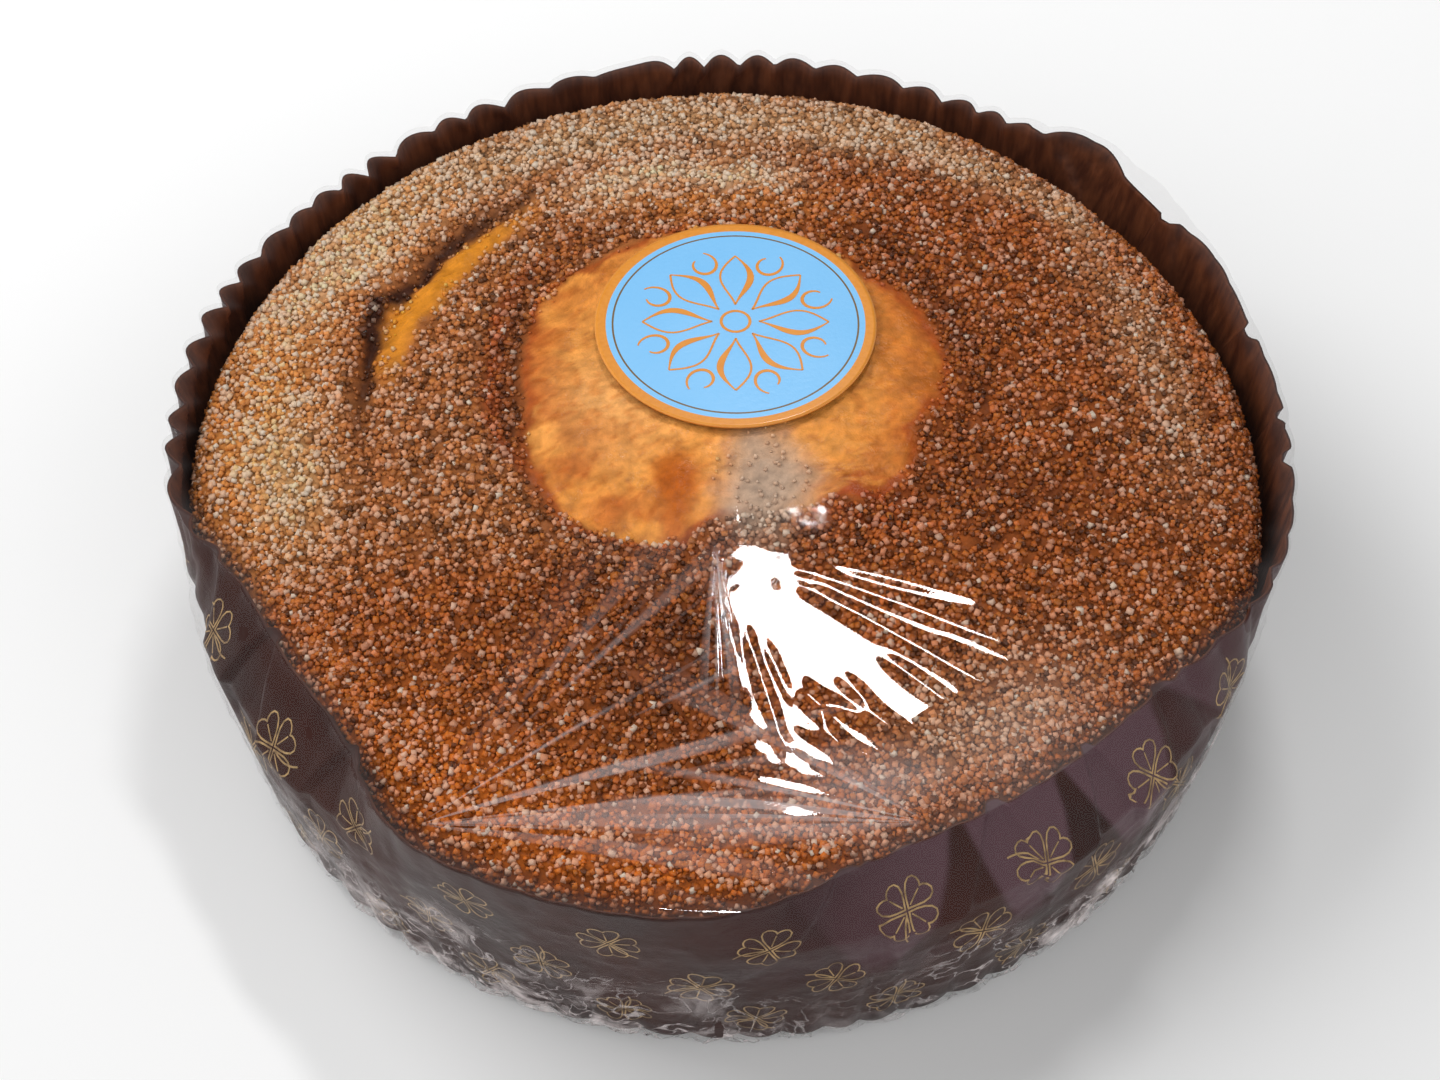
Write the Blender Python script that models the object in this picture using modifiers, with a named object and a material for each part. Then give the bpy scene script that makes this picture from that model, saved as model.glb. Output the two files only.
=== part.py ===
"""A round marble cake baked in a pleated paper case, wrapped in clear film with a round label on top.

Metres, +Z up. The origin is the middle of the underside and -Y is the front. Angles go round the
upright axis from +X, anticlockwise from above, and are named in degrees.
"""

import math

import bpy
from mathutils import Vector, noise

MM = 0.001
OBJECT_NAME = "marble_cake"
FLAT_TOPPED = 4

# The case's axis stands a little off the origin, because the rim isn't pulled out evenly all round.
CASE_AXIS = (0.2 * MM, -1.3 * MM)

# Paper case: the outer face of a wall that widens upwards to an open rim
BASE_RADIUS = 91.5 * MM
RIM_RADIUS = 99.3 * MM
RIM_HEIGHT = 50.5 * MM
PAPER = 0.5 * MM
PAPER_FLOOR = 0.75 * MM
PAPER_CORNER = (2.3 * MM, 1.6 * MM)
FLUTES = 74
WALL_FLUTE = 0.5 * MM
RIM_FLUTE = 1.1 * MM
FREE_PAPER_HEIGHT = 44 * MM
RIM_SWELLS = ((163, 13, 1.8 * MM), (88, 14, 1.8 * MM), (47, 5.5, 5.2 * MM), (28, 7, 2.2 * MM))

# The film bends the rim in over the cake along two stretches of the front. There and at the right the
# free paper is creased into flat facets, which take the place of the pleats.
PRESSED_STRETCHES = ((212, 20), (305, 30))
CREASED_STRETCH = (20, 38)
FOLD_HEIGHT = 37 * MM
LEAN = 11.5 * MM
RIM_DROP = 1.7 * MM
FACETS_ROUND = 22
FACET_DEPTH = 1.6 * MM

# Cake
SIDE_GAP = 0.6 * MM
CAKE_FLOOR = 2.3 * MM
SHOULDER_RADIUS = 90 * MM
SHOULDER_START = 40.5 * MM
DOME_EDGE_HEIGHT = 46.5 * MM
DOME_RISE = 7.5 * MM
DOME_REACH = 97 * MM
DOME_POWER = 2.4
CAKE_STEPS = 96
CAKE_RINGS = 27
LUMP_SIZE = 3.8 * MM
LUMP_DEPTH = 0.9 * MM
RELIEF_FADE = 2 * MM
SHOULDER_TURNS = (30, 60, 90)
SIDE_LEAN_POWER = 6

# Marbling that stands in relief: a smooth raised island, the sunk ring round it and a crack to its left
ISLAND = (2 * MM, 16 * MM, 39 * MM)
ISLAND_RISE = 0.7 * MM
ISLAND_SLOPE = 6 * MM
SUGAR_FADE = (-8 * MM, 4 * MM)
RING_WIDTH = 3.5 * MM
RING_DEPTH = 1.0 * MM
RING_MIDDLE = (225, 85)
CRACK = (-10 * MM, 12 * MM, 55.5 * MM)
CRACK_MIDDLE = (155, 34)
CRACK_WIDTH = 2.4 * MM
CRACK_DEPTH = 2.2 * MM

# Film: lies on the dome, runs over the rim, down the wall and under the base
FILM = 0.4 * MM
FILM_OVER_CAKE = 1.5 * MM
FILM_OFF_CASE = 1.1 * MM
FILM_BRIDGE = (38, 5.5, 3.6 * MM)
FILM_LAP_RADIUS = 40 * MM
FILM_EDGE_ROUND = 1.2 * MM
FILM_STEPS = 96
FILM_RINGS = 5

# Label: a standard 2 inch round
LABEL_RADIUS = 25.4 * MM
LABEL_CENTRE = (1.2 * MM, 24.3 * MM)
LABEL_PAPER = 0.4 * MM
LABEL_GAP = 0.35 * MM
LABEL_STEPS = 36

# Colour, roughness and metallic value of each finish
FINISHES = {
    "cake": ((0.40, 0.16, 0.055, 1), 0.8, 0),
    "paper_case": ((0.075, 0.027, 0.018, 1), 0.42, 0),
    "film_wrap": ((0.92, 0.94, 0.96, 0.25), 0.06, 0),
    "label": ((0.22, 0.58, 0.86, 1), 0.4, 0),
}


def clear_scene():
    for old in list(bpy.data.objects):
        bpy.data.objects.remove(old, do_unlink=True)


def swell(theta, middle, half_width, power=2):
    """1 at the middle angle, falling away on both sides: smoothly, or late and quickly when flat-topped."""
    apart = (math.degrees(theta) - middle + 180) % 360 - 180
    return math.exp(-abs(apart / half_width) ** power)


def pressed(theta):
    """How far the rim is bent in here, from 0 to 1."""
    return max(swell(theta, middle, width, FLAT_TOPPED) for middle, width in PRESSED_STRETCHES)


def rise(value, low, high):
    """0 below low, 1 above high, and smooth between them."""
    share = min(1, max(0, (value - low) / (high - low)))
    return share * share * (3 - 2 * share)


def lean(theta, z):
    share = min(1, max(0, (z - FOLD_HEIGHT) / (RIM_HEIGHT - FOLD_HEIGHT)))
    return LEAN * pressed(theta) * share


def case_radius(theta, z):
    """Radius of the case's outermost line at this angle and height."""
    swells = sum(reach * swell(theta, middle, width) for middle, width, reach in RIM_SWELLS)
    share = z / RIM_HEIGHT
    return BASE_RADIUS + (RIM_RADIUS - BASE_RADIUS) * share + swells * share**3 - lean(theta, z)


def creased(theta):
    """How far facets take the place of the pleats here, from 0 to 1."""
    return max(pressed(theta), swell(theta, *CREASED_STRETCH, FLAT_TOPPED))


def flute_depth(theta, z):
    """Half the depth of a pleat: shallow on the wall, deeper on the free rim, flat where it is creased."""
    free = rise(z, FREE_PAPER_HEIGHT, RIM_HEIGHT)
    return WALL_FLUTE + (RIM_FLUTE - WALL_FLUTE) * free * (1 - creased(theta))


def dome_height(r):
    return DOME_EDGE_HEIGHT + DOME_RISE * (1 - min(1, r / DOME_REACH) ** DOME_POWER)


def distance_and_angle(x, y, circle):
    """Signed distance from a circle's line, and the angle round its centre."""
    away = Vector((x - circle[0], y - circle[1]))
    return away.length - circle[2], math.atan2(away.y, away.x)


def relief(x, y):
    """Height of the baked swirl and the sugar lumps above the smooth dome."""
    from_island, island_angle = distance_and_angle(x, y, ISLAND)
    from_crack, crack_angle = distance_and_angle(x, y, CRACK)
    island = ISLAND_RISE * (1 - rise(from_island, -ISLAND_SLOPE, 0))
    ring = RING_DEPTH * math.exp(-((from_island / RING_WIDTH - 1) ** 2))
    crack = CRACK_DEPTH * math.exp(-((from_crack / CRACK_WIDTH) ** 2))
    lumps = LUMP_DEPTH * noise.noise(Vector((x, y, 0)) / LUMP_SIZE) * rise(from_island, *SUGAR_FADE)
    return (
        island
        - ring * swell(island_angle, *RING_MIDDLE, FLAT_TOPPED)
        - crack * swell(crack_angle, *CRACK_MIDDLE, FLAT_TOPPED)
        + lumps
    )


def crease_radius(theta):
    """Where the film turns down over the rim. At the right it runs straight between two corners of it."""
    middle, width, reach = FILM_BRIDGE
    return case_radius(theta, RIM_HEIGHT) + FILM_OFF_CASE + reach * swell(theta, middle, width)


def film_height(theta, r):
    """The top sheet: on the dome in the middle, and pulled straight to the crease further out."""
    crease = crease_radius(theta)
    crease_height = RIM_HEIGHT + FILM_OFF_CASE - RIM_DROP * pressed(theta)
    lift = crease_height - dome_height(crease) - FILM_OVER_CAKE
    return dome_height(r) + FILM_OVER_CAKE + lift * (r / crease) ** 3


def film_height_at(x, y):
    return film_height(math.atan2(y, x), math.hypot(x, y))


def material_for(name):
    colour, roughness, metallic = FINISHES[name]
    material = bpy.data.materials.new(name)
    material.use_nodes = True
    shader = material.node_tree.nodes["Principled BSDF"]
    shader.inputs["Base Color"].default_value = colour[:3] + (1,)
    shader.inputs["Alpha"].default_value = colour[3]
    shader.inputs["Roughness"].default_value = roughness
    shader.inputs["Metallic"].default_value = metallic
    return material


def turned(name, profile, steps):
    """Turns a profile of (radius, height) points, listed top to bottom, into a mesh object."""
    line = bpy.data.meshes.new(name)
    points = [(r, 0, z) for r, z in profile]
    line.from_pydata(points, [(i, i + 1) for i in range(len(points) - 1)], [])
    draft = bpy.data.objects.new(name + "_profile", line)
    bpy.context.scene.collection.objects.link(draft)
    screw = draft.modifiers.new("turn", "SCREW")
    screw.steps = screw.render_steps = steps
    screw.use_merge_vertices = True
    screw.merge_threshold = 0.00001
    screw.use_smooth_shade = True
    graph = bpy.context.evaluated_depsgraph_get()
    mesh = bpy.data.meshes.new_from_object(draft.evaluated_get(graph))
    bpy.data.objects.remove(draft)
    obj = bpy.data.objects.new(name, mesh)
    obj.data.name = name
    obj.data.materials.clear()
    obj.data.materials.append(material_for(name))
    return obj


def reshape(obj, place):
    """Moves each vertex to place(angle, radius, height), which gives its new radius and height."""
    for vertex in obj.data.vertices:
        x, y, z = vertex.co
        theta = math.atan2(y, x)
        radius, height = place(theta, math.hypot(x, y), z)
        vertex.co = (radius * math.cos(theta), radius * math.sin(theta), height)


def thicken(obj, thickness):
    """Gives an open surface its wall, on the inner side."""
    wall = obj.modifiers.new("wall", "SOLIDIFY")
    wall.thickness = thickness
    wall.offset = -1
    wall.use_even_offset = True


def cake_side_radius(z):
    wall = BASE_RADIUS + (RIM_RADIUS - BASE_RADIUS) * z / RIM_HEIGHT
    return wall - 2 * WALL_FLUTE - PAPER - SIDE_GAP


def make_cake():
    """Domed top with a rounded shoulder, and a side that fills the case."""
    top = [SHOULDER_RADIUS * i / CAKE_RINGS for i in range(CAKE_RINGS + 1)]
    profile = [(r, dome_height(r)) for r in top]
    across = cake_side_radius(SHOULDER_START) - SHOULDER_RADIUS
    down = dome_height(SHOULDER_RADIUS) - SHOULDER_START
    for turn in SHOULDER_TURNS:
        part = math.radians(turn)
        profile.append(
            (SHOULDER_RADIUS + across * math.sin(part), SHOULDER_START + down * math.cos(part))
        )
    profile += [(cake_side_radius(FOLD_HEIGHT), FOLD_HEIGHT), (cake_side_radius(CAKE_FLOOR), CAKE_FLOOR)]
    profile.append((0, CAKE_FLOOR))
    cake = turned("cake", profile, CAKE_STEPS)

    def place(theta, r, z):
        radius = r - lean(theta, z) * (r / DOME_REACH) ** SIDE_LEAN_POWER
        if z < FOLD_HEIGHT:
            return radius, z
        x, y = radius * math.cos(theta), radius * math.sin(theta)
        on_top = 1 - rise(r, SHOULDER_RADIUS - RELIEF_FADE, SHOULDER_RADIUS + across)
        return radius, z + relief(x, y) * on_top

    reshape(cake, place)
    return cake


def make_paper_case():
    """Pleated paper wall with a flat floor, open at the top."""
    corner_across, corner_up = PAPER_CORNER
    rim_step = (RIM_HEIGHT + FREE_PAPER_HEIGHT) / 2
    heights = (RIM_HEIGHT, rim_step, FREE_PAPER_HEIGHT, FOLD_HEIGHT, PAPER_FLOOR + corner_up)
    profile = [(BASE_RADIUS, z) for z in heights]
    profile += [(BASE_RADIUS - corner_across, PAPER_FLOOR), (0, PAPER_FLOOR)]
    case = turned("paper_case", profile, 2 * FLUTES)

    def place(theta, r, z):
        if r < BASE_RADIUS - corner_across / 2:
            return r, z
        depth = flute_depth(theta, z)
        radius = case_radius(theta, z) - depth + depth * math.cos(FLUTES * theta)
        facet = abs(theta * FACETS_ROUND / math.tau % 1 - 0.5)
        free = rise(z, FREE_PAPER_HEIGHT, RIM_HEIGHT)
        radius -= FACET_DEPTH * facet * creased(theta) * free
        return radius, z - RIM_DROP * pressed(theta) * free

    reshape(case, place)
    thicken(case, PAPER)
    return case


def make_film_wrap():
    """The clear film as a thin skin: top sheet, side and the lap under the base."""
    rings = [RIM_RADIUS * i / FILM_RINGS for i in range(FILM_RINGS + 1)]
    profile = [(r, RIM_HEIGHT) for r in rings]
    profile += [(BASE_RADIUS, z) for z in (FOLD_HEIGHT, FILM_EDGE_ROUND)]
    profile += [(BASE_RADIUS - FILM_EDGE_ROUND, 0), (FILM_LAP_RADIUS, 0)]
    film = turned("film_wrap", profile, FILM_STEPS)

    def place(theta, r, z):
        if z > (FOLD_HEIGHT + RIM_HEIGHT) / 2:
            radius = r / RIM_RADIUS * crease_radius(theta)
            return radius, film_height(theta, radius)
        if r < BASE_RADIUS - FILM_EDGE_ROUND / 2:
            return r, z
        return case_radius(theta, z) + FILM_OFF_CASE, z

    reshape(film, place)
    thicken(film, FILM)
    return film


def make_label():
    """A thin disc stuck on the film, following its curve."""
    half = LABEL_RADIUS / 2
    profile = [(0, LABEL_PAPER), (half, LABEL_PAPER), (LABEL_RADIUS, LABEL_PAPER)]
    profile += [(LABEL_RADIUS, 0), (half, 0), (0, 0)]
    label = turned("label", profile, LABEL_STEPS)
    for vertex in label.data.vertices:
        vertex.co.x += LABEL_CENTRE[0]
        vertex.co.y += LABEL_CENTRE[1]
        vertex.co.z += film_height_at(vertex.co.x, vertex.co.y) + LABEL_GAP
    return label


def main():
    clear_scene()
    collection = bpy.data.collections.new(OBJECT_NAME)
    bpy.context.scene.collection.children.link(collection)
    stand = bpy.data.objects.new(OBJECT_NAME, None)
    stand.location = (*CASE_AXIS, 0)
    collection.objects.link(stand)
    for piece in (make_cake(), make_paper_case(), make_film_wrap(), make_label()):
        collection.objects.link(piece)
        piece.parent = stand


main()
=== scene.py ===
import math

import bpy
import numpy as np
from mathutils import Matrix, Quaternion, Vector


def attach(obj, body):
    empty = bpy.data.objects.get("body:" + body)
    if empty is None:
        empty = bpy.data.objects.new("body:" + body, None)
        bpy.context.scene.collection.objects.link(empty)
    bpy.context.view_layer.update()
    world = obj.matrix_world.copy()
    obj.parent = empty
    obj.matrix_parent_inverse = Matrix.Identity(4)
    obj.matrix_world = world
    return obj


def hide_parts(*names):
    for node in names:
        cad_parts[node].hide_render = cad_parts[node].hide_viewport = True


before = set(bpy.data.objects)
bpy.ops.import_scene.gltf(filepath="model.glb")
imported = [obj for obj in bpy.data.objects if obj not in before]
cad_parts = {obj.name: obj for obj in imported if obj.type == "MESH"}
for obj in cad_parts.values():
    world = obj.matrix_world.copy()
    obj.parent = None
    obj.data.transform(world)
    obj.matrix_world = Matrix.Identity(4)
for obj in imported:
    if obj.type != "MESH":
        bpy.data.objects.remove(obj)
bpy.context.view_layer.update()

# A round marble cake in its pleated paper case, wrapped in clear film, with a round label on top.
# Lengths are in millimetres from the case's own axis until a mesh is made. Angles go round that axis
# from +X, anticlockwise from above, and are named in degrees.

MM = 0.001
TURN = 2 * math.pi
FLAT_TOPPED = 4
CASE_AXIS = (0.2, -1.3)

# Paper case
BASE_RADIUS = 91.5
RIM_RADIUS = 99.3
RIM_HEIGHT = 50.5
PAPER = 0.5
PAPER_FLOOR = 0.75
PAPER_CORNER = (2.3, 1.6)
FLUTES = 74
WALL_FLUTE = 0.5
RIM_FLUTE = 1.1
FREE_PAPER_HEIGHT = 44
RIM_SWELLS = ((163, 13, 1.8), (88, 14, 1.8), (47, 5.5, 5.2), (28, 7, 2.2))
PRESSED_STRETCHES = ((212, 20), (305, 30))
CREASED_STRETCH = (20, 38)
FOLD_HEIGHT = 37
LEAN = 11.5
RIM_DROP = 1.7
FACETS_ROUND = 22

# Cake
SIDE_GAP = 0.6
CAKE_FLOOR = 2.3
SHOULDER_RADIUS = 90
SHOULDER_START = 40.5
SHOULDER_ARC = 9
DOME_EDGE_HEIGHT = 46.5
DOME_RISE = 7.5
DOME_REACH = 97
DOME_POWER = 2.4
SIDE_LEAN_POWER = 6
ISLAND = (2, 16, 39)
ISLAND_RISE = 0.7
ISLAND_SLOPE = 6
SUGAR_FADE = (-8, 4)
RING_WIDTH = 3.5
RING_DEPTH = 1.0
RING_MIDDLE = (225, 85)
CRACK = (-10, 12, 55.5)
CRACK_MIDDLE = (155, 34)
CRACK_WIDTH = 2.4
CRACK_DEPTH = 2.2

# Film and label
FILM_OVER_CAKE = 1.5
FILM_OFF_CASE = 1.1
FILM_OFF_PAPER = 0.35
FILM_CRUMPLE = 0.7
FILM_BRIDGE = (38, 5.5, 3.6)
FILM_LAP_RADIUS = 40
FILM_EDGE_ROUND = 1.2
FILM_FLOOR = 0.1
LABEL_RADIUS = 25.4
LABEL_CENTRE = (1.2, 24.3)
LABEL_PAPER = 0.4
LABEL_GAP = 0.35


def paint(red, green, blue):
    """Linear colour of screen values from 0 to 255."""
    screen = np.array([red, green, blue]) / 255
    return np.where(screen <= 0.04045, screen / 12.92, ((screen + 0.055) / 1.055) ** 2.4)


def swell(theta, middle, half_width, power=2):
    """exp(-|angle from the middle / half-width| ^ power): 1 at the middle angle, 0 far from it."""
    apart = (np.degrees(theta) - middle + 180) % 360 - 180
    return np.exp(-np.abs(apart / half_width) ** power)


def rise(value, low, high):
    """0 below low, 1 above high, and the cubic 3s^2 - 2s^3 between them."""
    share = np.clip((value - low) / (high - low), 0, 1)
    return share * share * (3 - 2 * share)


def mottle(x, y, size, seed):
    """Smooth noise from -1 to 1: random values on a square lattice of this spacing, blended between."""
    lattice = np.random.default_rng(seed).uniform(-1, 1, (256, 256))
    column, row = np.floor(x / size).astype(int), np.floor(y / size).astype(int)
    across, up = rise(x / size - column, 0, 1), rise(y / size - row, 0, 1)
    low = lattice[row % 256, column % 256] * (1 - across) + lattice[row % 256, (column + 1) % 256] * across
    row = row + 1
    high = lattice[row % 256, column % 256] * (1 - across) + lattice[row % 256, (column + 1) % 256] * across
    return low * (1 - up) + high * up


def layered(x, y, layers):
    """Several mottles on each other, each with its strength, its lattice spacing and its seed."""
    return sum(strength * mottle(x, y, size, seed) for strength, size, seed in layers)


def round_mottle(theta, size, seed):
    """A mottle that changes only with the angle, over this many degrees."""
    return mottle(np.degrees(theta), theta * 0, size, seed)


# Outline of the case, the crust and the film


def pressed(theta):
    """How far the rim is bent in here, from 0 to 1."""
    return np.maximum.reduce([swell(theta, *stretch, FLAT_TOPPED) for stretch in PRESSED_STRETCHES])


def creased(theta):
    """How far facets take the place of the pleats here, from 0 to 1."""
    return np.maximum(pressed(theta), swell(theta, *CREASED_STRETCH, FLAT_TOPPED))


def lean(theta, z):
    """How far the case leans in where its rim is bent in: evenly more from the fold up to the rim."""
    return LEAN * pressed(theta) * np.clip((z - FOLD_HEIGHT) / (RIM_HEIGHT - FOLD_HEIGHT), 0, 1)


def case_radius(theta, z):
    """Radius of the case's outermost line: a wall that widens evenly, swells of the rim, less the lean."""
    swells = sum(reach * swell(theta, middle, width) for middle, width, reach in RIM_SWELLS)
    share = z / RIM_HEIGHT
    return BASE_RADIUS + (RIM_RADIUS - BASE_RADIUS) * share + swells * share**3 - lean(theta, z)


def dome_height(r):
    """Height of the dome: that of its edge, plus its rise times (1 - (r / reach) ^ power)."""
    return DOME_EDGE_HEIGHT + DOME_RISE * (1 - np.minimum(1, r / DOME_REACH) ** DOME_POWER)


def film_bridge(theta):
    """How far the film stands off where it is pulled straight between two corners at the right."""
    middle, width, reach = FILM_BRIDGE
    return reach * swell(theta, middle, width)


def crease_radius(theta):
    """Where the film turns down over the rim."""
    return case_radius(theta, RIM_HEIGHT) + FILM_OFF_CASE + film_bridge(theta)


def film_height(theta, r):
    """The dome plus a gap, plus a cubic lift that brings the sheet up to the rim's crease."""
    crease = crease_radius(theta)
    crease_height = RIM_HEIGHT + FILM_OFF_CASE - RIM_DROP * pressed(theta)
    lift = crease_height - dome_height(crease) - FILM_OVER_CAKE
    return dome_height(r) + FILM_OVER_CAKE + lift * (r / crease) ** 3


# Mesh making


def disc_grid(count):
    """Unit disc from a square grid: each ring of the square is pressed into a ring of the disc, evenly.
    Gives angle, radius and vertex numbers."""
    across, up = np.meshgrid(np.linspace(-1, 1, count), np.linspace(-1, 1, count))
    sideways = np.abs(across) > np.abs(up)
    r = np.where(sideways, across, up)
    ratio = np.where(sideways, up, across) / np.where(r == 0, 1, r)
    turn = np.where(sideways, ratio * math.pi / 4, math.pi / 2 - ratio * math.pi / 4)
    x, y = r * np.cos(turn), r * np.sin(turn)
    return np.arctan2(y, x), np.hypot(x, y), np.arange(count**2).reshape(count, count)


def grid_quads(numbers):
    """Quads between neighbouring rows of vertex numbers, facing up when rows go from front to back."""
    corners = [numbers[:-1, :-1], numbers[:-1, 1:], numbers[1:, 1:], numbers[1:, :-1]]
    return np.stack(corners, -1).reshape(-1, 4)


def ring_quads(rings):
    """Quads between closed rings of vertex numbers, facing out when the rings go down."""
    upper, lower = rings[:-1], rings[1:]
    return np.stack([upper, lower, np.roll(lower, -1, 1), np.roll(upper, -1, 1)], -1).reshape(-1, 4)


def border(numbers):
    """Vertex numbers round the edge of a square grid, anticlockwise from above."""
    return np.concatenate([numbers[0, :-1], numbers[:-1, -1], numbers[-1, :0:-1], numbers[:0:-1, 0]])


def polar_points(theta, radius, z):
    """x, y and z from angle, radius and height."""
    theta, radius, z = np.broadcast_arrays(theta, radius, z)
    return np.stack([radius * np.cos(theta), radius * np.sin(theta), z], -1)


def shell(first, rows, last):
    """Points, quads and triangles of a closed surface: a point, rings of points, and a point."""
    rows = np.array(rows)
    numbers = 1 + np.arange(rows.size // 3).reshape(len(rows), -1)
    points = np.concatenate([[first], rows.reshape(-1, 3), [last]])
    start, end = numbers[0], numbers[-1]
    caps = [(start * 0, start, np.roll(start, -1)), (end, end * 0 + len(points) - 1, np.roll(end, -1))]
    return points, ring_quads(numbers), np.concatenate([np.stack(cap, -1) for cap in caps])


def put(name, data):
    """A new object in the scene."""
    made = bpy.data.objects.new(name, data)
    bpy.context.scene.collection.objects.link(made)
    return made


def make_piece(name, points, quads, triangles=(), smooth=True, fields=None):
    """A mesh object from vertex places in millimetres and arrays of vertex numbers, with its fields."""
    points = np.asarray(points, float).reshape(-1, 3)
    placed = (points + (*CASE_AXIS, 0)) * MM
    quads = np.asarray(quads, np.int32).reshape(-1, 4)
    triangles = np.asarray(triangles, np.int32).reshape(-1, 3)
    corners = np.concatenate([quads.ravel(), triangles.ravel()])
    starts = np.concatenate([np.arange(len(quads)) * 4, len(quads) * 4 + np.arange(len(triangles)) * 3])
    mesh = bpy.data.meshes.new(name)
    mesh.vertices.add(len(placed))
    mesh.vertices.foreach_set("co", placed.astype(np.float32).ravel())
    mesh.loops.add(len(corners))
    mesh.loops.foreach_set("vertex_index", corners)
    mesh.polygons.add(len(starts))
    mesh.polygons.foreach_set("loop_start", starts.astype(np.int32))
    mesh.update(calc_edges=True)
    for field, values in (fields or {}).items():
        values = np.asarray(values, np.float32)
        if values.shape[-1] == 3:
            values = np.concatenate([values, np.ones(values.shape[:-1] + (1,), np.float32)], -1)
            mesh.attributes.new(field, "FLOAT_COLOR", "POINT").data.foreach_set("color", values.ravel())
        else:
            mesh.attributes.new(field, "FLOAT", "POINT").data.foreach_set("value", values.ravel())
    if smooth:
        mesh.shade_smooth()
    return put(name, mesh)


def belongs(piece, material, slot, *nodes):
    """Gives the piece its finish, puts it under the root body and hides the parts that it stands in for."""
    piece.data.materials.append(material)
    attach(piece, "root")
    if nodes:
        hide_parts(*nodes)


# Material making


class Nodes:
    """Short ways to add nodes to a tree."""

    def __init__(self, tree):
        self.tree = tree

    def node(self, kind, inputs=None, **settings):
        made = self.tree.nodes.new("ShaderNode" + kind)
        for key, value in settings.items():
            setattr(made, key, value)
        for socket, value in (inputs or {}).items():
            if isinstance(value, bpy.types.NodeSocket):
                self.tree.links.new(value, made.inputs[socket])
            else:
                made.inputs[socket].default_value = value
        return made

    def place(self):
        return self.node("TexCoord").outputs["Object"]

    def field(self, name, output="Fac"):
        return self.node("Attribute", attribute_name=name).outputs[output]

    def noise(self, scale, detail=2.0, roughness=0.5, vector=None):
        inputs = {"Vector": vector or self.place(), "Scale": scale, "Detail": detail, "Roughness": roughness}
        return self.node("TexNoise", inputs).outputs["Fac"]

    def number(self, operation, first, second=0.0, clamp=False):
        made = self.node("Math", {0: first, 1: second}, operation=operation, use_clamp=clamp)
        return made.outputs[0]

    def times(self, first, second, clamp=False):
        return self.number("MULTIPLY", first, second, clamp)

    def plus(self, first, second, clamp=False):
        return self.number("ADD", first, second, clamp)

    def vector(self, operation, first, second, output="Vector"):
        made = self.node("VectorMath", {0: first, 1: second}, operation=operation)
        return made.outputs[output]

    def spread(self, value, low, high, to_low=0.0, to_high=1.0, **settings):
        inputs = {"Value": value, "From Min": low, "From Max": high, "To Min": to_low, "To Max": to_high}
        return self.node("MapRange", inputs, **settings).outputs["Result"]

    def mix(self, share, first, second, blend="MIX"):
        ends = [end if isinstance(end, bpy.types.NodeSocket) else (*end, 1) for end in (first, second)]
        inputs = {0: share, 6: ends[0], 7: ends[1]}
        return self.node("Mix", inputs, data_type="RGBA", blend_type=blend).outputs[2]

    def bump(self, height, distance, strength=1.0, normal=None):
        inputs = {"Height": height, "Distance": distance, "Strength": strength}
        if normal:
            inputs["Normal"] = normal
        return self.node("Bump", inputs).outputs["Normal"]


class Finish(Nodes):
    """A material with its Principled shader."""

    def __init__(self, name, **settings):
        self.material = bpy.data.materials.new(name)
        self.material.use_nodes = True
        super().__init__(self.material.node_tree)
        self.shader = self.tree.nodes["Principled BSDF"]
        for socket, value in settings.items():
            self.shader.inputs[socket.replace("_", " ").title().replace("Ior", "IOR")].default_value = value

    def set(self, socket, value):
        self.tree.links.new(value, self.shader.inputs[socket])

    def dull(self, texture, least, most, low=0.3, high=0.7):
        """Roughness from least to most as the texture goes from low to high."""
        self.set("Roughness", self.spread(texture, low, high, least, most))


# Colours of the crust

TONES = {
    "left brown": (142, 93, 68),
    "right brown": (132, 74, 42),
    "front brown": (134, 76, 42),
    "sand": (188, 130, 80),
    "pale": (178, 148, 132),
    "ash": (184, 160, 162),
    "beige": (157, 132, 126),
    "shade": (122, 68, 43),
    "dusk": (100, 52, 30),
    "amber": (160, 90, 36),
    "maroon": (62, 28, 18),
    "gold": (255, 162, 46),
    "peach": (252, 166, 76),
    "cream": (240, 178, 112),
    "orange": (198, 108, 38),
    "syrup": (190, 90, 10),
    "red": (168, 70, 26),
    "grey": (190, 162, 138),
}
# Bands, painted in this order: tone, strength, circle (middle x, middle y, radius), width, middle angle
# and half-width
BANDS = (
    ("beige", 0.9, (0, 0, 85), 10, (105, 40)),
    ("ash", 0.9, (0, 0, 67), 4.5, (97, 19)),
    ("shade", 0.22, (5, 10, 60), 4, (62, 26)),
    ("beige", 0.7, (0, 0, 87), 6, (62, 16)),
    ("sand", 0.8, (0, 0, 85), 9, (165, 32)),
    ("beige", 0.3, (0, 0, 80), 8, (14, 24)),
    ("shade", 0.75, (2, 16, 43.5), 3, (205, 95)),
    ("dusk", 0.45, (2, 16, 46), 2.2, (190, 50)),
    ("red", 0.25, (2, 16, 46), 1.6, (190, 45)),
    ("maroon", 0.5, (2, 16, 41.5), 1.6, (192, 42)),
    ("dusk", 0.65, (2, 16, 42), 3.5, (20, 45)),
    ("amber", 0.95, (0, 0, 87), 9, (255, 34)),
    ("amber", 0.5, (0, 0, 80), 7, (238, 14)),
    ("shade", 0.4, (-10, 12, 58), 2.2, (150, 38)),
)
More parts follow.
